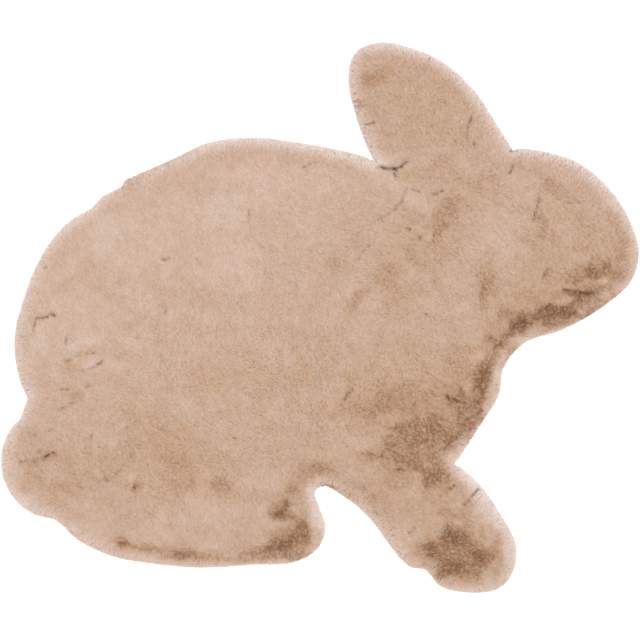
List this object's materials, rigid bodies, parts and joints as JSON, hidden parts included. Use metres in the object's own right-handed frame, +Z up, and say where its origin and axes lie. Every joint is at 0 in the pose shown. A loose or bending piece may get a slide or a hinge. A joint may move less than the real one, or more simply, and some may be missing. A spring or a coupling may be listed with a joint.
{
  "type": "rabbit-shaped kids rug",
  "caption": "Flat short-pile plush rug cut to a rabbit in profile, with upright ear, round tail, hind foot and reaching forepaw, resting pile up on a plain knitted ground cloth.",
  "frame": {"origin": "middle of the bounding box at the flat underside, where the rug rests", "axes": "+X towards the nose, +Y towards the ear tip, +Z up out of the pile"},
  "size_m": [0.9, 0.7756, 0.019],
  "materials": {
    "plush": "matt, dense short pile of pinkish beige polyester, darker where the nap is brushed the other way, on a plain knitted ground cloth"
  },
  "bodies": {
    "root": {"plush_rug": "plush"}
  },
  "joints": []
}
